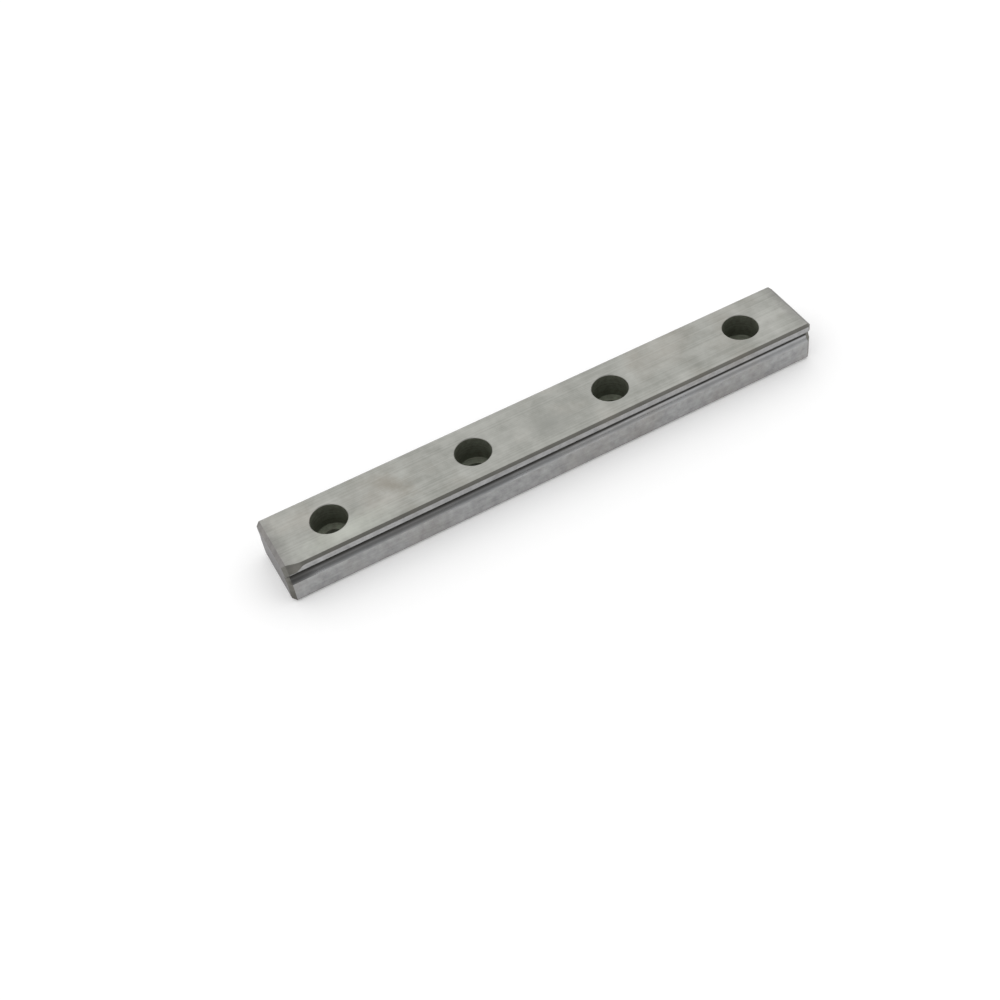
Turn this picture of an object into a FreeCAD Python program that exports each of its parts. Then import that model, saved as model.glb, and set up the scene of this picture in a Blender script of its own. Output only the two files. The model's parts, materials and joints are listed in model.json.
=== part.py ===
"""Linear guide rail of the 12 mm miniature size, one ground bar of hardened steel.

The rail lies along X with its mounting face on the XY plane and its middle over the origin. Each long side
carries a pointed-arch raceway for the balls of a carriage, and the counterbored holes in the top take the
screws that hold the rail down.
"""
import FreeCAD, Part
import enum
import math
import os
import Sketcher

# Driving dimensions, in millimetres
DIMENSIONS = {
    # The bar
    "rail_length": 95,
    "rail_width": 12,
    "rail_height": 7.5,
    "top_chamfer": 0.4,
    "bottom_chamfer": 0.4,
    "end_chamfer": 0.6,
    # The raceways: how far the arch's point lies below the top face and inside the side face, the radius of
    # its two arcs, how far each arc's centre lies past the arch's middle, and the bevel where balls run on
    "raceway_drop": 2.5,
    "raceway_depth": 0.75,
    "raceway_radius": 1.25,
    "arch_offset": 0.04,
    "raceway_lead_in": 0.2,
    # The screw holes, counted from the end at -X, as many as leave the least margin at the other end
    "hole_pitch": 25,
    "end_distance": 10,
    "least_margin": 5,
    "screw_hole_diameter": 3.5,
    "counterbore_diameter": 6,
    "counterbore_depth": 4.5,
    "rim_break": 0.12,
}

# Where along X the rail ends, and the heights of its mounting face and its top
END_PLANES = (-DIMENSIONS["rail_length"] / 2, DIMENSIONS["rail_length"] / 2)
FACE_PLANES = (0, DIMENSIONS["rail_height"])

# The numbers by which a sketch knows the points of a line or arc, and its own two axes
Spot = enum.IntEnum("Spot", ["START", "END", "CENTRE"])
Axis = enum.IntEnum("Axis", {"HORIZONTAL": -1, "VERTICAL": -2})
ZERO_POINT = (Axis.HORIZONTAL, Spot.START)

doc = FreeCAD.newDocument("linear_guide_rail")
sizes = doc.addObject("Spreadsheet::Sheet", "Sizes")
for row, (alias, value) in enumerate(DIMENSIONS.items(), start=1):
    sizes.set(f"A{row}", alias)
    sizes.set(f"B{row}", str(value))
    sizes.setAlias(f"B{row}", alias)
doc.recompute()

rail = doc.addObject("PartDesign::Body", "guide_rail")
rail.Label = "guide_rail"
origin = {feature.Role: feature for feature in rail.Origin.OriginFeatures}


def new_sketch(name, plane):
    """An empty sketch on one of the rail's own origin planes."""
    sketch = rail.newObject("Sketcher::SketchObject", name)
    sketch.AttachmentSupport = [(origin[plane], "")]
    sketch.MapMode = "FlatFace"
    return sketch


def dimension(sketch, name, size, kind, *where):
    """A named driving constraint of the sketch, bound to an expression of the sheet."""
    index = sketch.addConstraint(Sketcher.Constraint(kind, *where, float(sketch.evalExpression(size))))
    sketch.renameConstraint(index, name)
    sketch.setExpression(f"Constraints.{name}", size)


def lies_on(coordinate, planes):
    """Whether a coordinate is that of one of the planes."""
    return any(math.isclose(coordinate, plane, abs_tol=1e-6) for plane in planes)


def is_round(edge):
    """Whether an edge is an arc or a circle."""
    return isinstance(edge.Curve, Part.Circle)


def chamfer_edges(name, base, size, chosen):
    """An even chamfer on those edges of the base that the test picks."""
    names = [f"Edge{k}" for k, edge in enumerate(base.Shape.Edges, start=1) if chosen(edge)]
    chamfer = rail.newObject("PartDesign::Chamfer", name)
    chamfer.Base = (base, names)
    chamfer.setExpression("Size", size)
    rail.Tip = chamfer
    doc.recompute()


def bar_section():
    """The bar's section before the raceways: a rectangle with its four corners chamfered."""
    half_width = DIMENSIONS["rail_width"] / 2
    height = DIMENSIONS["rail_height"]
    top_chamfer = DIMENSIONS["top_chamfer"]
    bottom_chamfer = DIMENSIONS["bottom_chamfer"]
    right_side = [
        (half_width - bottom_chamfer, 0),
        (half_width, bottom_chamfer),
        (half_width, height - top_chamfer),
        (half_width - top_chamfer, height),
    ]
    left_side = [(-across, up) for across, up in reversed(right_side)]
    corners = [FreeCAD.Vector(across, up, 0) for across, up in right_side + left_side]
    count = len(corners)
    sketch = new_sketch("bar_section", "YZ_Plane")
    for k in range(count):
        sketch.addGeometry(Part.LineSegment(corners[k], corners[(k + 1) % count]), False)
    for k in range(count):
        sketch.addConstraint(Sketcher.Constraint("Coincident", k, Spot.END, (k + 1) % count, Spot.START))

    # Each corner is the start of the line with its number, and its mirror image counts from the other end
    foot, low, high, brow = range(len(right_side))
    for corner in (foot, low, high, brow):
        pair = (corner, Spot.START, count - 1 - corner, Spot.START)
        sketch.addConstraint(Sketcher.Constraint("Symmetric", *pair, Axis.VERTICAL))
    sketch.addConstraint(Sketcher.Constraint("PointOnObject", foot, Spot.START, Axis.HORIZONTAL))
    sketch.addConstraint(Sketcher.Constraint("Vertical", low))
    for name, size, kind, start, end in (
            ("width", "Sizes.rail_width", "DistanceX", count - 1 - low, low),
            ("height", "Sizes.rail_height", "DistanceY", foot, brow),
            ("bottom_across", "Sizes.bottom_chamfer", "DistanceX", foot, low),
            ("bottom_up", "Sizes.bottom_chamfer", "DistanceY", foot, low),
            ("top_across", "Sizes.top_chamfer", "DistanceX", brow, high),
            ("top_up", "Sizes.top_chamfer", "DistanceY", high, brow)):
        dimension(sketch, name, size, kind, start, Spot.START, end, Spot.START)
    return sketch


def bar():
    """The plain bar, with the edges of both ends chamfered."""
    pad = rail.newObject("PartDesign::Pad", "bar")
    pad.Profile = bar_section()
    pad.SideType = "Symmetric"
    pad.setExpression("Length", "Sizes.rail_length")
    doc.recompute()
    chamfer_edges("bar_ends", pad, "Sizes.end_chamfer", lambda edge: lies_on(edge.CenterOfMass.x, END_PLANES))


def raceway_section():
    """The raceway's section: two arcs that meet in a point inside the bar, closed by a line outside it."""
    radius = DIMENSIONS["raceway_radius"]
    offset = DIMENSIONS["arch_offset"]
    point = FreeCAD.Vector(DIMENSIONS["rail_width"] / 2 - DIMENSIONS["raceway_depth"],
                           DIMENSIONS["rail_height"] - DIMENSIONS["raceway_drop"], 0)
    reach = math.sqrt(radius ** 2 - offset ** 2)
    tilt = math.asin(offset / radius)
    upper_centre = point + FreeCAD.Vector(reach, -offset, 0)
    lower_centre = point + FreeCAD.Vector(reach, offset, 0)
    crown = FreeCAD.Vector(0, radius, 0)
    normal = FreeCAD.Vector(0, 0, 1)
    sketch = new_sketch("raceway_section", "YZ_Plane")
    upper = sketch.addGeometry(
        Part.ArcOfCircle(Part.Circle(upper_centre, normal, radius), math.pi / 2, math.pi - tilt), False)
    lower = sketch.addGeometry(
        Part.ArcOfCircle(Part.Circle(lower_centre, normal, radius), math.pi + tilt, 3 * math.pi / 2), False)
    closing = sketch.addGeometry(Part.LineSegment(lower_centre - crown, upper_centre + crown), False)
    sketch.addConstraint([
        Sketcher.Constraint("Coincident", upper, Spot.END, lower, Spot.START),
        Sketcher.Constraint("Coincident", lower, Spot.END, closing, Spot.START),
        Sketcher.Constraint("Coincident", closing, Spot.END, upper, Spot.START),
        Sketcher.Constraint("Vertical", closing),
        Sketcher.Constraint("PointOnObject", upper, Spot.CENTRE, closing),
        Sketcher.Constraint("PointOnObject", lower, Spot.CENTRE, closing),
        Sketcher.Constraint("Equal", upper, lower),
    ])
    dimension(sketch, "radius", "Sizes.raceway_radius", "Radius", upper)
    dimension(sketch, "offset", "Sizes.arch_offset", "DistanceY", upper, Spot.CENTRE, upper, Spot.END)
    dimension(sketch, "point_across", "Sizes.rail_width / 2 - Sizes.raceway_depth",
              "DistanceX", *ZERO_POINT, upper, Spot.END)
    dimension(sketch, "point_up", "Sizes.rail_height - Sizes.raceway_drop",
              "DistanceY", *ZERO_POINT, upper, Spot.END)
    return sketch


def raceways():
    """A raceway along one side from end to end, its mirror image on the other, and their bevelled mouths."""
    cut = rail.newObject("PartDesign::Pocket", "raceway")
    cut.Profile = raceway_section()
    cut.Type = "ThroughAll"
    cut.SideType = "Symmetric"
    doc.recompute()
    pair = rail.newObject("PartDesign::Mirrored", "raceway_pair")
    pair.Originals = [cut]
    pair.MirrorPlane = (origin["XZ_Plane"], [""])
    rail.Tip = pair
    doc.recompute()
    chamfer_edges("raceway_mouths", pair, "Sizes.raceway_lead_in",
                  lambda edge: is_round(edge) and lies_on(edge.CenterOfMass.x, END_PLANES))


def screw_holes():
    """The row of counterbored through holes along the middle of the top face."""
    first_hole = FreeCAD.Vector(END_PLANES[0] + DIMENSIONS["end_distance"], 0, 0)
    sketch = new_sketch("first_hole", "XY_Plane")
    sketch.setExpression("AttachmentOffset.Base.z", "Sizes.rail_height")
    circle = sketch.addGeometry(
        Part.Circle(first_hole, FreeCAD.Vector(0, 0, 1), DIMENSIONS["screw_hole_diameter"] / 2), False)
    sketch.addConstraint(Sketcher.Constraint("PointOnObject", circle, Spot.CENTRE, Axis.HORIZONTAL))
    dimension(sketch, "from_middle", "Sizes.rail_length / 2 - Sizes.end_distance",
              "DistanceX", circle, Spot.CENTRE, *ZERO_POINT)
    dimension(sketch, "radius", "Sizes.screw_hole_diameter / 2", "Radius", circle)
    doc.recompute()
    hole = rail.newObject("PartDesign::Hole", "screw_hole")
    hole.Profile = sketch
    hole.DepthType = "ThroughAll"
    hole.HoleCutType = "Counterbore"
    hole.HoleCutCustomValues = True
    hole.setExpression("Diameter", "Sizes.screw_hole_diameter")
    hole.setExpression("HoleCutDiameter", "Sizes.counterbore_diameter")
    hole.setExpression("HoleCutDepth", "Sizes.counterbore_depth")
    doc.recompute()
    row = rail.newObject("PartDesign::LinearPattern", "screw_hole_row")
    row.Originals = [hole]
    row.Direction = (origin["X_Axis"], [""])
    row.Mode = "Spacing"
    row.setExpression("Offset", "Sizes.hole_pitch")
    row.setExpression("Occurrences", "floor((Sizes.rail_length - Sizes.end_distance - Sizes.least_margin)"
                                     " / Sizes.hole_pitch) + 1")
    rail.Tip = row
    doc.recompute()
    chamfer_edges("rim_breaks", row, "Sizes.rim_break",
                  lambda edge: is_round(edge) and lies_on(edge.CenterOfMass.z, FACE_PLANES))


bar()
raceways()
screw_holes()
rail.Placement = FreeCAD.Placement()
doc.recompute()

failed = [item.Name for item in doc.Objects if "Invalid" in item.State or "Error" in item.State]
if failed or rail.Shape.isNull() or not rail.Shape.isValid():
    raise RuntimeError(f"the rail did not build: {failed}")
for feature in rail.Group:
    base = getattr(feature, "BaseFeature", None)
    if base and feature.Shape.Volume >= base.Shape.Volume:
        raise RuntimeError(f"{feature.Name} took no metal away")

os.makedirs("parts", exist_ok=True)
rail.Shape.exportStep(f"parts/{rail.Label}.step")
print(f"{rail.Label}: {rail.Shape.Volume:.2f} cubic mm in {len(rail.Shape.Solids)} solid")
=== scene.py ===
import json
import math

import bmesh
import bpy
import numpy as np
from mathutils import Matrix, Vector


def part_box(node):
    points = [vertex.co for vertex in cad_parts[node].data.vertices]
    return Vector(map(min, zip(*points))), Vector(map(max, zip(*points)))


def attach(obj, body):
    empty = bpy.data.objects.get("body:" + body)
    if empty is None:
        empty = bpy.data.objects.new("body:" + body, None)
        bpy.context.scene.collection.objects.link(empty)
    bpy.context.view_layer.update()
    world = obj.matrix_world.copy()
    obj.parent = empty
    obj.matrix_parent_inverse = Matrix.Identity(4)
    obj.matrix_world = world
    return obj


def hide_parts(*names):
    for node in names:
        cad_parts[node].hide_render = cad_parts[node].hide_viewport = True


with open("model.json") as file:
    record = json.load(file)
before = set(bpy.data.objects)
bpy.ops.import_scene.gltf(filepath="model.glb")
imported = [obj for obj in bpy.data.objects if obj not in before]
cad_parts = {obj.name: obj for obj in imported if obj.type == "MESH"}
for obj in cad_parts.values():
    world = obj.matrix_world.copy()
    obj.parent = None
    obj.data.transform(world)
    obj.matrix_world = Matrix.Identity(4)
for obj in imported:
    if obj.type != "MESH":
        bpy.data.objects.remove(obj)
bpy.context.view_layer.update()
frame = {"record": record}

# The bar
# One straight bar of through-hardened bearing steel, drawn to its section and then ground along its
# length on every long face. Narrow chamfers break its long edges, and a stone has softened them.

MM = 0.001
LOW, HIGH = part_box("guide_rail")
LENGTH, WIDTH, HEIGHT = (np.array(HIGH) - np.array(LOW)) / MM
TOP_CHAMFER = 0.4
FOOT_CHAMFER = 0.4
EDGE_RADIUS = 0.06
ARC_SHARE = 0.4
CORNER_STEPS = 5
MITRE = math.sqrt(2) - 1


def soften(corners, radius):
    """Arcs in place of the inner corners of a run of straight sides.

    Each arc's centre lies on its corner's bisector, one radius from both sides, and its points turn
    evenly from the first side to the second. The run's two end points only give directions. The radius
    is one number, or one for each corner.
    """
    corner = corners[..., 1:-1, :]
    back = corners[..., :-2, :] - corner
    ahead = corners[..., 2:, :] - corner
    back = back / np.linalg.norm(back, axis=-1, keepdims=True)
    ahead = ahead / np.linalg.norm(ahead, axis=-1, keepdims=True)
    radius = np.asarray(radius)[..., None]
    half_angle = np.arccos(np.sum(back * ahead, axis=-1, keepdims=True)) / 2
    reach = radius / np.tan(half_angle)
    bisector = (back + ahead) / np.linalg.norm(back + ahead, axis=-1, keepdims=True)
    centre = corner + bisector * radius / np.sin(half_angle)
    first = (corner + back * reach - centre)[..., None, :]
    last = (corner + ahead * reach - centre)[..., None, :]
    turn = (np.pi - 2 * half_angle)[..., None, :]
    share = np.linspace(0, 1, CORNER_STEPS)[:, None]
    arc = (np.sin((1 - share) * turn) * first + np.sin(share * turn) * last) / np.sin(turn)
    return (centre[..., None, :] + arc).reshape(*corners.shape[:-2], -1, 2)


def run(*points):
    """Corner points of a section as one array: stations, then corners, then across and up."""
    return np.stack([np.stack(np.broadcast_arrays(*point), axis=-1) for point in points], axis=1)


def edge_radius(leg):
    """The usual edge radius, or less where the chamfer with that leg is too short for two such arcs."""
    return np.minimum(EDGE_RADIUS, ARC_SHARE * math.sqrt(2) * leg / MITRE)[:, None]


def foot_edge(inset):
    """The chamfer beside the mounting face, drawn in by the inset: its slope and both faces beside it move
    in by the inset, so the chamfer's leg shrinks by the inset less the mitre's share of it."""
    face, side = inset, WIDTH / 2 - inset
    leg = FOOT_CHAMFER - (1 - MITRE) * inset
    corners = run((0, face), (side - leg, face), (side, face + leg), (side, HEIGHT / 2))
    return soften(corners, edge_radius(leg))


def top_edge(inset, inward, downward):
    """The chamfer beside the top face, drawn in by the inset in the same way, with one leg made longer
    inward over the top face and the other downward on the side."""
    face, side = HEIGHT - inset, WIDTH / 2 - inset
    leg = TOP_CHAMFER - (1 - MITRE) * inset
    corners = run((side, HEIGHT / 2), (side, face - leg - downward), (side - leg - inward, face), (0, face))
    return soften(corners, edge_radius(leg))


def linear(code):
    """An sRGB hex colour as linear light, with full alpha."""
    shares = np.array([int(code[i:i + 2], 16) for i in (1, 3, 5)]) / 255
    light = np.where(shares <= 0.04045, shares / 12.92, ((shares + 0.055) / 1.055) ** 2.4)
    return (*light.tolist(), 1.0)


def add(tree, kind, sockets, **settings):
    """Adds a node. A socket given an output is linked to it, and one given a value is set to it."""
    node = tree.nodes.new(kind)
    for name, value in settings.items():
        setattr(node, name, value)
    for key, value in sockets.items():
        if isinstance(value, bpy.types.NodeSocket):
            tree.links.new(value, node.inputs[key])
        else:
            node.inputs[key].default_value = value
    return node


finishes = []


def new_finish(name):
    """A new steel finish at the end of the list: its node tree, its shader and the place on the bar."""
    material = bpy.data.materials.new(name)
    material.use_nodes = True
    finishes.append(material)
    tree = material.node_tree
    steel = tree.nodes["Principled BSDF"]
    steel.inputs["Metallic"].default_value = 1.0
    return tree, steel, add(tree, "ShaderNodeTexCoord", {}).outputs["Object"]


# Ground bearing steel: the wheel leaves a pale satin grey with fine straight lines along the bar, soft
# clouds where it wore, and a few faint brown patches from handling. The lines are really about 0.02 mm
# wide and are drawn ten to twenty times as coarse so that they show.
LINE_LENGTH = 90.0
LINE_SHARE = 0.45
LINE_HEIGHT = 0.004
STAIN_WIDTH = 11.0
STAIN_COLOUR = "#8d8478"
STAIN_COVER = 0.3


def ground_finish(name, dull, bright, line_width, cloud_width, dullest, glossiest):
    """Steel ground or drawn along the bar: noise drawn out along X for the lines and even noise for the
    clouds, which both shift the colour and the gloss, and wider noise for the stains, which tint the
    colour. Only the lines are in relief."""
    tree, steel, place = new_finish(name)
    line_scale = np.array([1 / LINE_LENGTH, 1 / line_width, 1 / line_width]) / MM
    drawn_out = add(tree, "ShaderNodeMapping", {"Vector": place, "Scale": line_scale}).outputs[0]
    lines = add(tree, "ShaderNodeTexNoise", {
        "Vector": drawn_out, "Scale": 1.0, "Detail": 2.0, "Roughness": 0.6}).outputs[0]
    cloud = add(tree, "ShaderNodeTexNoise", {
        "Vector": place, "Scale": 1 / (cloud_width * MM), "Detail": 5.0, "Roughness": 0.6}).outputs[0]
    tone = add(tree, "ShaderNodeMath", {
        0: lines, 1: LINE_SHARE, 2: cloud}, operation="MULTIPLY_ADD").outputs[0]
    grey = add(tree, "ShaderNodeMapRange", {"Value": tone, "From Min": 0.45, "From Max": 1.0}).outputs[0]
    metal = add(tree, "ShaderNodeMix", {
        "Factor": grey, 6: linear(dull), 7: linear(bright)}, data_type="RGBA").outputs[2]
    stain = add(tree, "ShaderNodeTexNoise", {
        "Vector": place, "Scale": 1 / (STAIN_WIDTH * MM), "Detail": 6.0, "Roughness": 0.65}).outputs[0]
    patch = add(tree, "ShaderNodeMapRange", {
        "Value": stain, "From Min": 0.5, "From Max": 0.72, "To Max": STAIN_COVER}).outputs[0]
    colour = add(tree, "ShaderNodeMix", {
        "Factor": patch, 6: metal, 7: linear(STAIN_COLOUR)}, data_type="RGBA").outputs[2]
    tree.links.new(colour, steel.inputs["Base Color"])
    gloss = add(tree, "ShaderNodeMapRange", {
        "Value": tone, "From Min": 0.4, "From Max": 1.05,
        "To Min": dullest, "To Max": glossiest}).outputs[0]
    tree.links.new(gloss, steel.inputs["Roughness"])
    relief = add(tree, "ShaderNodeBump", {
        "Height": lines, "Strength": 0.6, "Distance": LINE_HEIGHT * MM}).outputs[0]
    tree.links.new(relief, steel.inputs["Normal"])
    return tree, steel, place, colour


# On the top face old oil has dried in a brown smear across the bar between the first two holes, and hands
# have dulled a patch between the second and the third. Beside the first, the near edge is painted lighter:
# a painted highlight for the stronger light at that end of the bar.
# At both ends a ragged band of the face beside the edge is darker as well. A mark is its tint, its middle,
# its turn in degrees, and its half length and half width.
MARK_GRAIN = 1.5
MARK_RAGGED = 1.2
MARK_COVER = 0.6
SMEAR = "#868176", (-26.2, 0.8, HEIGHT), 124, 5.5, 2.0
DULLED_PATCH = "#8c8d88", (0.5, -1.5, HEIGHT), 0, 4.5, 3.0
# Painted highlight: the top face is painted lighter beside the first hole, for the stronger light there.
PAINTED_HIGHLIGHT = "#b5b8af", (-36.0, -3.8, HEIGHT), 0, 10.0, 3.0
NEAR_END_BAND = "#787674", (-LENGTH / 2, 0, HEIGHT / 2), 0, 2.4, 2 * WIDTH
FAR_END_BAND = "#787674", (LENGTH / 2, 0, HEIGHT / 2), 0, 2.4, 2 * WIDTH


def marked(tree, place, colour, tint, middle, turn, half_length, half_width):
    """The colour with a ragged oval mark: the place is moved to the mark's middle, turned and divided by
    its half sizes, and the tint thins out with the distance from there, which noise shifts."""
    oval = add(tree, "ShaderNodeMapping", {
        "Vector": place, "Location": np.array(middle) * MM, "Rotation": (0, 0, math.radians(turn)),
        "Scale": np.array([half_length, half_width, half_width]) * MM}, vector_type="TEXTURE").outputs[0]
    away = add(tree, "ShaderNodeVectorMath", {0: oval}, operation="LENGTH").outputs["Value"]
    ragged = add(tree, "ShaderNodeTexNoise", {
        "Vector": place, "Scale": 1 / (MARK_GRAIN * MM), "Detail": 4.0, "Roughness": 0.65}).outputs[0]
    edge = add(tree, "ShaderNodeMath", {
        0: ragged, 1: MARK_RAGGED, 2: away}, operation="MULTIPLY_ADD").outputs[0]
    cover = add(tree, "ShaderNodeMapRange", {
        "Value": edge, "From Min": 0.7, "From Max": 1.6, "To Min": MARK_COVER, "To Max": 0.0}).outputs[0]
    return add(tree, "ShaderNodeMix", {
        "Factor": cover, 6: colour, 7: linear(tint)}, data_type="RGBA").outputs[2]


GROUND = len(finishes)
tree, steel, place, colour = ground_finish(
    "ground_bearing_steel", "#8b8c86", "#b0b0ab",
    line_width=0.3, cloud_width=5.0, dullest=0.44, glossiest=0.32)
for mark in (SMEAR, DULLED_PATCH, PAINTED_HIGHLIGHT, NEAR_END_BAND, FAR_END_BAND):
    colour = marked(tree, place, colour, *mark)
tree.links.new(colour, steel.inputs["Base Color"])

# The sides are ground in a pass of their own, with a softer wheel: cooler, more matt and mottled. Their
# colour is also painted a little paler than the top's: painted light that lifts the sides, which mirror the
# shaded floor beside the bar.
SIDES = len(finishes)
ground_finish(
    "side_ground_bearing_steel", "#919191", "#b3b3b3",
    line_width=0.3, cloud_width=1.1, dullest=0.5, glossiest=0.38)

# Steel with its hardening skin: the long chamfers come from the drawing die and are never ground, so they
# keep a thin dark skin that reads as a fine line along each edge. The foot of the corner at the near end
# is painted darker: painted shade for the shadow in that corner.
SKIN = len(finishes)
PAINTED_FOOT_SHADE = "#2b2a28", (-LENGTH / 2, -WIDTH / 2, 0), 0, 4.0, 4.0
tree, steel, place, colour = ground_finish(
    "drawn_steel_with_hardening_skin", "#666560", "#7d7c77",
    line_width=0.4, cloud_width=5.0, dullest=0.5, glossiest=0.4)
colour = marked(tree, place, colour, *PAINTED_FOOT_SHADE)
tree.links.new(colour, steel.inputs["Base Color"])

# The raceways
# A ball track runs along each side of the bar, formed by a shaped wheel as a pointed arch of two arcs.
# It is honed smoother than the lands, and its mouths open out a little so that a carriage slides on.

RACEWAY_DROP = 2.5
RACEWAY_DEPTH = 0.75
RACEWAY_RADIUS = 1.25
ARCH_OFFSET = 0.04
LIP_RADIUS = 0.03
LEAD_IN = 0.2
TRACK_STEPS = 14


def raceway(inset, lead):
    """One track from its lower lip to its upper lip, for a bar drawn in by the inset.

    The upper flank is an arc, opened out by the lead, about a centre just below the root's level. The lip
    is a small arc that touches it and the land: its centre is one lip radius inside the land and the sum of
    both radii from the flank's centre. The lower half is the upper half mirrored at the root's level.
    """
    radius = RACEWAY_RADIUS + lead
    centre = WIDTH / 2 - RACEWAY_DEPTH + math.sqrt(RACEWAY_RADIUS ** 2 - ARCH_OFFSET ** 2)
    lip = WIDTH / 2 - inset - LIP_RADIUS
    rise = np.sqrt((radius + LIP_RADIUS) ** 2 - (centre - lip) ** 2)
    root_angle = np.arcsin(ARCH_OFFSET / radius)
    lip_angle = np.arctan2(rise, centre - lip)
    share = np.linspace(0, 1, TRACK_STEPS)
    angle = root_angle[:, None] + (lip_angle - root_angle)[:, None] * share
    flank = np.stack([centre - radius[:, None] * np.cos(angle),
                      radius[:, None] * np.sin(angle) - ARCH_OFFSET], axis=-1)
    bend = -lip_angle[:, None] * np.linspace(1, 0, CORNER_STEPS)[1:]
    edge = np.stack([lip[:, None] + LIP_RADIUS * np.cos(bend),
                     rise[:, None] - ARCH_OFFSET + LIP_RADIUS * np.sin(bend)], axis=-1)
    upper = np.concatenate([flank, edge], axis=1)
    lower = upper[:, :0:-1] * (1, -1)
    return np.concatenate([lower, upper], axis=1) + (0, HEIGHT - RACEWAY_DROP)


# Honed raceway steel: smoother than the lands. Its colour is painted dark along the root as painted shade,
# for the shade under the upper lip. The painted shade reaches up to the lips at the near end, most of all
# in the mouth there, and narrows along the rail.
HONED = len(finishes)
SHADE_CORE = 0.15
SHADE_NEAR, SHADE_FAR = 1.3, 0.35
SHADE_NARROWS_FROM, SHADE_NARROWS_TO = -0.2 * LENGTH, 0.17 * LENGTH
MOUTH_SHADE_FROM, MOUTH_SHADE_TO = -LENGTH / 2, 5.0 - LENGTH / 2
MOUTH_SHADE = 2.5
GROOVE_SHADE_COLOUR = "#3a3937"
tree, steel, place, honed = ground_finish(
    "honed_raceway_steel", "#8f9091", "#abacad",
    line_width=0.2, cloud_width=5.0, dullest=0.34, glossiest=0.24)
spot = add(tree, "ShaderNodeSeparateXYZ", {0: place})
root_offset = add(tree, "ShaderNodeMath", {
    0: spot.outputs["Z"], 1: (HEIGHT - RACEWAY_DROP) * MM}, operation="SUBTRACT").outputs[0]
from_root = add(tree, "ShaderNodeMath", {0: root_offset}, operation="ABSOLUTE").outputs[0]
shade_reach = add(tree, "ShaderNodeMapRange", {
    "Value": spot.outputs["X"], "From Min": SHADE_NARROWS_FROM * MM, "From Max": SHADE_NARROWS_TO * MM,
    "To Min": SHADE_NEAR * MM, "To Max": SHADE_FAR * MM}).outputs[0]
mouth_shade_reach = add(tree, "ShaderNodeMapRange", {
    "Value": spot.outputs["X"], "From Min": MOUTH_SHADE_FROM * MM, "From Max": MOUTH_SHADE_TO * MM,
    "To Min": MOUTH_SHADE * MM, "To Max": 0.0}).outputs[0]
reach = add(tree, "ShaderNodeMath", {0: shade_reach, 1: mouth_shade_reach}, operation="ADD").outputs[0]
unshaded = add(tree, "ShaderNodeMapRange", {
    "Value": from_root, "From Min": SHADE_CORE * MM, "From Max": reach}).outputs[0]
# Painted shade: the colour is mixed towards the dark shade colour near the root.
shaded_raceway = add(tree, "ShaderNodeMix", {
    "Factor": unshaded, 6: linear(GROOVE_SHADE_COLOUR), 7: honed}, data_type="RGBA").outputs[2]
tree.links.new(shaded_raceway, steel.inputs["Base Color"])

# The screw holes
# Each hole is drilled through for a screw and counterbored for its head while the bar is still soft.
# Only the long faces are ground afterwards, so the walls keep the dark scale of the hardening.

mounts = frame["record"]["mounts"]
HOLE_X = np.array(sorted(m["pos_m"][0] for m in mounts if m["kind"] == "bore")) / MM
HOLE_PITCH = HOLE_X[1] - HOLE_X[0]
HEAD_RADIUS = next(m["dims"]["r_mm"] for m in mounts if m["kind"] == "bore")
SCREW_RADIUS = next(m["dims"]["hole_r_mm"] for m in mounts if m["kind"] == "bolt_pattern")
HEAD_DEPTH = 4.5
RIM_BREAK = 0.12
RIM_RADIUS = 0.05
TOOL_RADIUS = 0.2
HOLE_SIDES = 96
ACROSS = 12
ALONG = HOLE_SIDES // 2 - ACROSS
PLATE_RINGS = 8
PLATE_GROWTH = 1.5

seat = HEIGHT - HEAD_DEPTH
hole_profile = soften(np.array([
    (2 * HEAD_RADIUS, HEIGHT), (HEAD_RADIUS + RIM_BREAK, HEIGHT), (HEAD_RADIUS, HEIGHT - RIM_BREAK),
    (HEAD_RADIUS, seat), (SCREW_RADIUS, seat),
    (SCREW_RADIUS, RIM_BREAK), (SCREW_RADIUS + RIM_BREAK, 0), (2 * HEAD_RADIUS, 0)]),
    [RIM_RADIUS, RIM_RADIUS, TOOL_RADIUS, RIM_RADIUS, RIM_RADIUS, RIM_RADIUS])
spoke = 2 * np.pi * (np.arange(HOLE_SIDES) - ACROSS / 2) / HOLE_SIDES


def turned(centre_x):
    """The stepped profile turned about an upright axis: radius times the spoke's cosine and sine."""
    radius, level = hole_profile[:, :1], hole_profile[:, 1:]
    return np.stack(np.broadcast_arrays(
        centre_x + radius * np.cos(spoke), radius * np.sin(spoke), level), axis=-1)


def plate(centre_x, side_x, right_y, left_y, rim_radius, level):
    """The flat face round a hole, out to its share of the bar: each spoke runs straight from the rim to
    its own point on the share's outline, in steps that grow outwards. The outline goes from the left long
    edge to the right one, back along it, and then likewise across the share's start."""
    step = np.linspace(0, 1, ACROSS, endpoint=False)
    edge_x = np.concatenate([
        np.full(ACROSS, side_x[-1]), side_x[:0:-1], np.full(ACROSS, side_x[0]), side_x[:-1]])
    edge_y = np.concatenate([
        left_y[-1] + (right_y[-1] - left_y[-1]) * step, right_y[:0:-1],
        right_y[0] + (left_y[0] - right_y[0]) * step, left_y[:-1]])
    share = np.linspace(0, 1, PLATE_RINGS)[:, None] ** PLATE_GROWTH
    x = centre_x + rim_radius * np.cos(spoke)
    y = rim_radius * np.sin(spoke)
    return np.stack(np.broadcast_arrays(
        x + (edge_x - x) * share, y + (edge_y - y) * share, level), axis=-1)


# Drilled steel under hardening scale: dull and dark, with a brown and green cast and rings from the tool.
# The tool's feed is really about 0.1 mm a turn and is drawn three times as coarse so that it shows.
RING_WIDTH = 0.3
RING_SHARE = 0.6
SCALE_GRAIN = 0.7
SCALE_HEIGHT = 0.01


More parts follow.
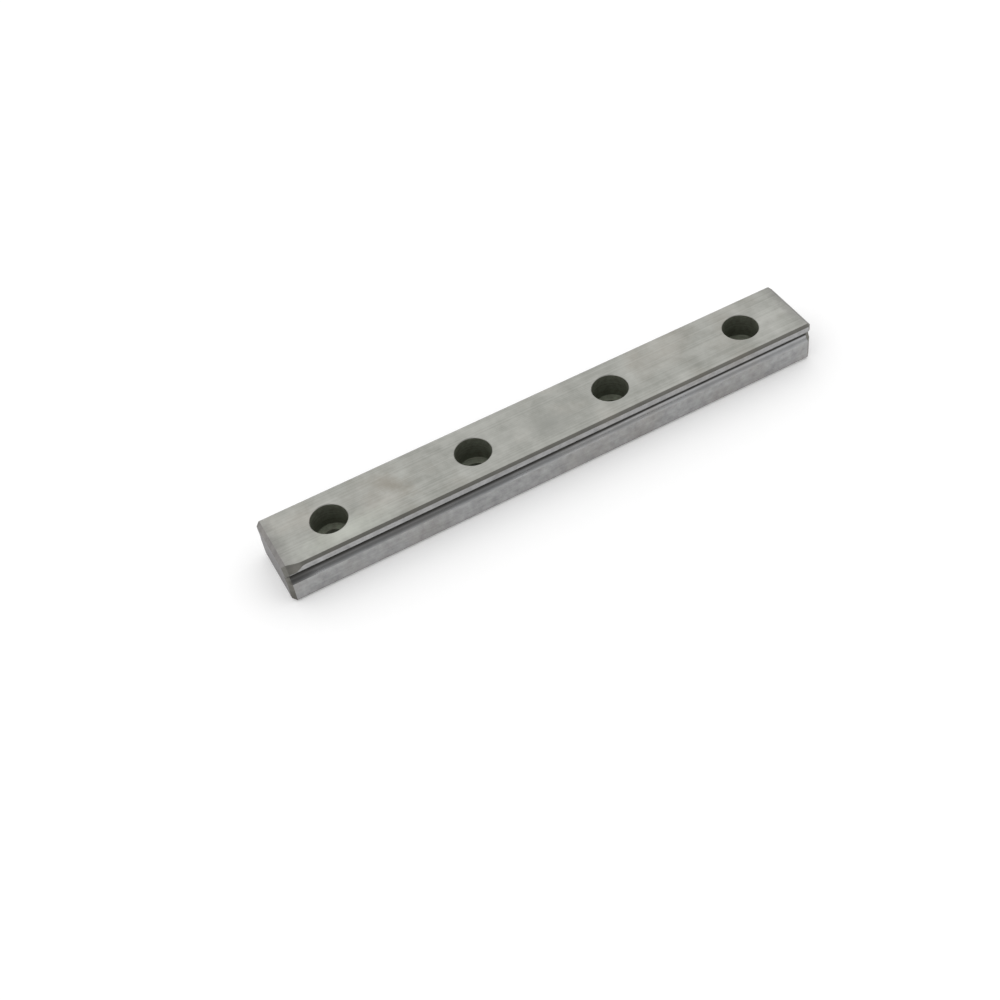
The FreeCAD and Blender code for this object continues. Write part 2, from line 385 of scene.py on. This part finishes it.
def scaled_finish(name, dark, pale):
    """Steel under scale: noise over the distance from the nearest hole's axis and the height gives the
    rings, and even noise gives the grain. Both shift the colour and are in relief."""
    tree, steel, place = new_finish(name)
    steel.inputs["Metallic"].default_value = 0.6
    spot = add(tree, "ShaderNodeSeparateXYZ", {0: place})
    from_hole = add(tree, "ShaderNodeMath", {
        0: spot.outputs["X"], 1: (HOLE_X[0] + HOLE_PITCH / 2) * MM,
        2: (HOLE_X[0] - HOLE_PITCH / 2) * MM}, operation="WRAP").outputs[0]
    beside = add(tree, "ShaderNodeMath", {0: from_hole, 1: HOLE_X[0] * MM}, operation="SUBTRACT").outputs[0]
    level_spot = add(tree, "ShaderNodeCombineXYZ", {"X": beside, "Y": spot.outputs["Y"]}).outputs[0]
    radius = add(tree, "ShaderNodeVectorMath", {0: level_spot}, operation="LENGTH").outputs["Value"]
    cut = add(tree, "ShaderNodeCombineXYZ", {"X": radius, "Y": spot.outputs["Z"]}).outputs[0]
    rings = add(tree, "ShaderNodeTexNoise", {
        "Vector": cut, "Scale": 1 / (RING_WIDTH * MM), "Detail": 2.0}, noise_dimensions="2D").outputs[0]
    grain = add(tree, "ShaderNodeTexNoise", {
        "Vector": place, "Scale": 1 / (SCALE_GRAIN * MM), "Detail": 4.0, "Roughness": 0.65}).outputs[0]
    tone = add(tree, "ShaderNodeMath", {
        0: rings, 1: RING_SHARE, 2: grain}, operation="MULTIPLY_ADD").outputs[0]
    shade = add(tree, "ShaderNodeMapRange", {"Value": tone, "From Min": 0.5, "From Max": 1.1}).outputs[0]
    colour = add(tree, "ShaderNodeMix", {
        "Factor": shade, 6: linear(dark), 7: linear(pale)}, data_type="RGBA").outputs[2]
    tree.links.new(colour, steel.inputs["Base Color"])
    gloss = add(tree, "ShaderNodeMapRange", {"Value": grain, "To Min": 0.4, "To Max": 0.65}).outputs[0]
    tree.links.new(gloss, steel.inputs["Roughness"])
    relief = add(tree, "ShaderNodeBump", {
        "Height": tone, "Strength": 0.6, "Distance": SCALE_HEIGHT * MM}).outputs[0]
    tree.links.new(relief, steel.inputs["Normal"])


SCALED = len(finishes)
scaled_finish("drilled_steel_with_hardening_scale", "#615e54", "#82897a")

# The head's seat is faced by the tool's end and keeps a thinner scale than the walls.
SEAT = len(finishes)
scaled_finish("faced_steel_with_thin_scale", "#7c7b70", "#9da593")

# The long faces and the ends
# The bar's skin is its section carried along its length, with the rims and the raceways let into it.
# Both ends are cut off square with an abrasive wheel, and their edges are broken all round. At one end
# the near top corner was filed off by hand as well, so the chamfer there widens towards the end.

END_CHAMFER = 0.6
END_RADIUS = 0.15
FILED_INWARD, FILED_LENGTH = 0.8, 2.6
FILED_DOWNWARD, FILED_FULL, FILED_START = 0.88, 1.9, 3.2


def across(start, end):
    """Points that divide the straight line between two ring points evenly, with both of its ends."""
    share = np.linspace(0, 1, ACROSS + 1)[:, None]
    return start[..., None, :] + (end - start)[..., None, :] * share


def quads(rows, columns, closed):
    """Corner numbers of the faces of a grid. In a closed grid the last column joins the first."""
    grid = np.arange(rows * columns).reshape(rows, columns)
    ahead = np.roll(grid, -1, axis=1)
    faces = np.stack([grid[:-1], ahead[:-1], ahead[1:], grid[1:]], axis=-1)
    return faces if closed else faces[:, :-1]


end_profile = soften(np.array([(0, LENGTH), (0, END_CHAMFER), (END_CHAMFER, 0), (LENGTH, 0)]), END_RADIUS)
end_profile = np.insert(end_profile, CORNER_STEPS, (LEAD_IN, END_CHAMFER - LEAD_IN), axis=0)
end_depth, end_inset = end_profile.T
end_lead = np.maximum(LEAD_IN - end_depth, 0)
flat_end = LENGTH / 2 - end_depth[-1]
share_x = np.concatenate([[-flat_end], (HOLE_X[1:] + HOLE_X[:-1]) / 2, [flat_end]])
inner_x = np.linspace(share_x[:-1], share_x[1:], ALONG, endpoint=False, axis=1).ravel()[1:]
plain = np.zeros(len(inner_x))
station_x = np.concatenate([end_depth - LENGTH / 2, inner_x, LENGTH / 2 - end_depth[::-1]])
inset = np.concatenate([end_inset, plain, end_inset[::-1]])
lead = np.concatenate([end_lead, plain, end_lead[::-1]])
from_end = station_x + LENGTH / 2
inward = FILED_INWARD * np.interp(from_end, [0, FILED_LENGTH], [1, 0])
downward = FILED_DOWNWARD * np.interp(from_end, [FILED_FULL, FILED_START], [1, 0])

foot, track, top = foot_edge(inset), raceway(inset, lead), top_edge(inset, 0, 0)
half = np.concatenate([foot, track, top], axis=1)
other = np.concatenate([foot, track, top_edge(inset, inward, downward)], axis=1)[:, ::-1] * (-1, 1)
over, under = across(half[:, -1], other[:, 0]), across(other[:, -1], half[:, 0])
ring = np.concatenate([half, over[:, 1:-1], other, under[:, 1:-1]], axis=1)
skin = np.concatenate([np.broadcast_to(station_x[:, None, None], (*ring.shape[:2], 1)), ring], axis=-1)

side_count, ring_count = half.shape[1], ring.shape[1]
side_columns = np.arange(side_count - 1)
track_columns = foot.shape[1] + np.arange(CORNER_STEPS - 1, track.shape[1] - CORNER_STEPS)
skin_columns = np.concatenate([side_columns[:foot.shape[1] - 1], side_columns[1 - top.shape[1]:]])
# The numbers of a column of faces on one side and of its twin on the other side add up to this.
mirror = 2 * side_count + ACROSS - 3
column_finish = np.full(ring_count, GROUND)
column_finish[[*side_columns, *(mirror - side_columns)]] = SIDES
column_finish[[*skin_columns, *(mirror - skin_columns)]] = SKIN
column_finish[[*track_columns, *(mirror - track_columns)]] = HONED
flat_columns = np.zeros(ring_count, bool)
flat_columns[side_count - 1:side_count - 1 + ACROSS] = True
flat_columns[-ACROSS:] = True
end_rows = np.zeros(len(station_x) - 1, bool)
end_rows[:len(end_depth) - 1] = True
end_rows[1 - len(end_depth):] = True

# Hand-stoned steel: the end edges of the top and the underside are broken with a coarse stone, which
# leaves them duller than those faces; their colour is darker too. The sides' end edges are as dark as the
# long chamfers.
STONED = len(finishes)
ground_finish(
    "hand_stoned_steel", "#797775", "#8e8c8a",
    line_width=0.4, cloud_width=2.0, dullest=0.6, glossiest=0.45)

# Abrasive-cut steel: rougher than the ground faces, with the wide shallow arcs that the wheel leaves.
# The arcs are really about as fine as the wheel's 0.2 mm grit and are drawn a little coarser.
CUT = len(finishes)
ARC_WIDTH = 0.3
ARC_WEIGHT = 0.9
CUT_GRAIN = 0.7
CUT_HEIGHT = 0.008
WHEEL = np.array([0.0, -70.0, 45.0])
tree, steel, place = new_finish("abrasive_cut_steel")
flat_place = add(tree, "ShaderNodeVectorMath", {0: place, 1: (0, 1, 1)}, operation="MULTIPLY").outputs[0]
sweep = add(tree, "ShaderNodeVectorMath", {
    0: flat_place, 1: WHEEL * MM}, operation="DISTANCE").outputs["Value"]
turns = add(tree, "ShaderNodeMath", {0: sweep, 1: 1 / (ARC_WIDTH * MM)}, operation="MULTIPLY").outputs[0]
arcs = add(tree, "ShaderNodeTexNoise", {
    "W": turns, "Scale": 1.0, "Detail": 3.0, "Roughness": 0.6}, noise_dimensions="1D").outputs[0]
grain = add(tree, "ShaderNodeTexNoise", {
    "Vector": place, "Scale": 1 / (CUT_GRAIN * MM), "Detail": 4.0}).outputs[0]
tone = add(tree, "ShaderNodeMath", {0: arcs, 1: ARC_WEIGHT, 2: grain}, operation="MULTIPLY_ADD").outputs[0]
grey = add(tree, "ShaderNodeMapRange", {"Value": tone, "From Min": 0.6, "From Max": 1.3}).outputs[0]
colour = add(tree, "ShaderNodeMix", {
    "Factor": grey, 6: linear("#5d5b5b"), 7: linear("#838181")}, data_type="RGBA").outputs[2]
tree.links.new(colour, steel.inputs["Base Color"])
gloss = add(tree, "ShaderNodeMapRange", {"Value": grain, "To Min": 0.4, "To Max": 0.55}).outputs[0]
tree.links.new(gloss, steel.inputs["Roughness"])
relief = add(tree, "ShaderNodeBump", {
    "Height": tone, "Strength": 0.6, "Distance": CUT_HEIGHT * MM}).outputs[0]
tree.links.new(relief, steel.inputs["Normal"])

# Between the ends, the top and the underside are left open here for the plates round the holes.
skin_faces = quads(len(station_x), ring_count, closed=True)
kept = end_rows[:, None] | ~flat_columns
edge_finish = np.where(flat_columns, STONED, SKIN)
skin_finish = np.where(end_rows[:, None], edge_finish, column_finish)
patches = [(skin, skin_faces[kept], skin_finish[kept])]

for station in (0, -1):
    face = across(half[station], other[station, ::-1])
    cap = np.concatenate([np.full((*face.shape[:2], 1), station_x[station]), face], axis=-1)
    faces = quads(*cap.shape[:2], closed=False).reshape(-1, 4)
    patches.append((cap, faces, np.full(len(faces), CUT)))

# The broken rims shine like the faces beside them. The seat is the one step between two corners.
hole_finish = np.full(len(hole_profile) - 1, SCALED)
hole_finish[:2 * CORNER_STEPS - 1] = GROUND
hole_finish[1 - 2 * CORNER_STEPS:] = GROUND
hole_finish[3 * CORNER_STEPS - 1] = SEAT
for k, centre_x in enumerate(HOLE_X):
    first = len(end_depth) - 1 + k * ALONG
    share = slice(first, first + ALONG + 1)
    side_x, right_y, left_y = station_x[share], half[share, :, 0], other[share, :, 0]
    rim = plate(centre_x, side_x, right_y[:, -1], left_y[:, 0], hole_profile[0, 0], HEIGHT)
    base = plate(centre_x, side_x, right_y[:, 0], left_y[:, -1], hole_profile[-1, 0], 0.0)
    for grid, row_finish in ((turned(centre_x), hole_finish), (rim, [GROUND]), (base, [GROUND])):
        faces = quads(*grid.shape[:2], closed=True)
        finish = np.broadcast_to(np.reshape(row_finish, (-1, 1)), faces.shape[:2])
        patches.append((grid, faces.reshape(-1, 4), finish.ravel()))

# The patches share the points along their borders, so welding those closes the bar.
WELD = 0.0001
starts = np.cumsum([0] + [grid.size // 3 for grid, _, _ in patches])
points = np.concatenate([grid.reshape(-1, 3) for grid, _, _ in patches])
corners = np.concatenate([faces + start for (_, faces, _), start in zip(patches, starts)])
face_finish = np.concatenate([finish for _, _, finish in patches]).astype(np.int32)
mesh = bpy.data.meshes.new("rail_bar")
mesh.from_pydata(points * MM, [], corners.tolist())
mesh.polygons.foreach_set("material_index", face_finish)
for finish in finishes:
    mesh.materials.append(finish)
welded = bmesh.new()
welded.from_mesh(mesh)
bmesh.ops.remove_doubles(welded, verts=welded.verts, dist=WELD * MM)
bmesh.ops.delete(welded, geom=[v for v in welded.verts if not v.link_faces], context="VERTS")
bmesh.ops.recalc_face_normals(welded, faces=welded.faces)
if welded.calc_volume(signed=True) < 0:
    bmesh.ops.reverse_faces(welded, faces=welded.faces)
welded.to_mesh(mesh)
welded.free()
mesh.polygons.foreach_set("use_smooth", np.ones(len(mesh.polygons), bool))
rail = bpy.data.objects.new("rail_bar", mesh)
bpy.context.scene.collection.objects.link(rail)
flat_faces = rail.modifiers.new("flat_faces", "WEIGHTED_NORMAL")
flat_faces.weight = 100
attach(rail, "root")
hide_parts("guide_rail")

# The studio
# A wide sheet of white paper on a level floor, inside a white light tent. The tent is open towards the
# front, above a low wall, so a slope that faces the opening shows it as a darker line.

FLOOR_HALF = 3.0
PAPER_LIFT = 0.12
OPENING = np.array([0.0, -0.83, 0.54])
OPENING_EDGE, OPENING_CORE = 45.0, 15.0
WALL_LOW, WALL_HIGH = 0.08, 0.25
TENT_LIGHT = (1.15, 1.15, 1.15, 1)
OPENING_LIGHT = (0.5, 0.5, 0.5, 1)
floor_mesh = bpy.data.meshes.new("studio_floor")
floor_mesh.from_pydata([(-FLOOR_HALF, -FLOOR_HALF, 0), (FLOOR_HALF, -FLOOR_HALF, 0),
                        (FLOOR_HALF, FLOOR_HALF, 0), (-FLOOR_HALF, FLOOR_HALF, 0)], [], [(0, 1, 2, 3)])
floor = bpy.data.objects.new("studio_floor", floor_mesh)
bpy.context.scene.collection.objects.link(floor)

# White paper: matt, and lifted a little towards white where the eye or a reflection meets it. The lift is
# small enough to leave the bar's soft shadow on it.
paper = bpy.data.materials.new("matt_white_paper")
paper.use_nodes = True
tree = paper.node_tree
sheet = tree.nodes["Principled BSDF"]
sheet.inputs["Base Color"].default_value = linear("#f4f4f4")
sheet.inputs["Roughness"].default_value = 0.9
sheet.inputs["Specular IOR Level"].default_value = 0.2
sheet.inputs["Emission Color"].default_value = (1, 1, 1, 1)
ray = add(tree, "ShaderNodeLightPath", {}).outputs
met = add(tree, "ShaderNodeMath", {
    0: ray["Is Camera Ray"], 1: ray["Is Glossy Ray"]}, operation="MAXIMUM").outputs[0]
met = add(tree, "ShaderNodeMath", {0: met, 1: ray["Is Transmission Ray"]}, operation="MAXIMUM").outputs[0]
lift = add(tree, "ShaderNodeMath", {0: met, 1: PAPER_LIFT}, operation="MULTIPLY").outputs[0]
tree.links.new(lift, sheet.inputs["Emission Strength"])
floor_mesh.materials.append(paper)

world = bpy.data.worlds.new("light_tent")
world.use_nodes = True
bpy.context.scene.world = world
tree = world.node_tree
toward = add(tree, "ShaderNodeTexCoord", {}).outputs["Generated"]
facing = add(tree, "ShaderNodeVectorMath", {
    0: toward, 1: OPENING / np.linalg.norm(OPENING)}, operation="DOT_PRODUCT").outputs["Value"]
within = add(tree, "ShaderNodeMapRange", {
    "Value": facing, "From Min": math.cos(math.radians(OPENING_EDGE)),
    "From Max": math.cos(math.radians(OPENING_CORE))}, interpolation_type="SMOOTHSTEP").outputs[0]
rise = add(tree, "ShaderNodeSeparateXYZ", {0: toward}).outputs["Z"]
over_wall = add(tree, "ShaderNodeMapRange", {
    "Value": rise, "From Min": WALL_LOW, "From Max": WALL_HIGH}, interpolation_type="SMOOTHSTEP").outputs[0]
opened = add(tree, "ShaderNodeMath", {0: within, 1: over_wall}, operation="MULTIPLY").outputs[0]
tent = add(tree, "ShaderNodeMix", {
    "Factor": opened, 6: TENT_LIGHT, 7: OPENING_LIGHT}, data_type="RGBA").outputs[2]
tree.links.new(tent, tree.nodes["Background"].inputs["Color"])

# The camera
# It stands at the photograph's angle: above the near side, turned towards the rail's far end.

EYE = np.array([-68.86, -154.03, 175.72])
DOWN, TURN, ROLL = 47.73, 21.12, -9.52
view = bpy.data.cameras.new("camera")
view.lens = 54.0
view.sensor_width = 36.0
view.clip_start = 0.001
camera = bpy.data.objects.new("camera", view)
camera.matrix_world = (
    Matrix.Translation(EYE * MM)
    @ Matrix.Rotation(math.radians(-TURN), 4, "Z")
    @ Matrix.Rotation(math.radians(90 - DOWN), 4, "X")
    @ Matrix.Rotation(math.radians(ROLL), 4, "Z"))
bpy.context.scene.collection.objects.link(camera)
bpy.context.scene.camera = camera
bpy.context.scene.view_settings.view_transform = "Standard"
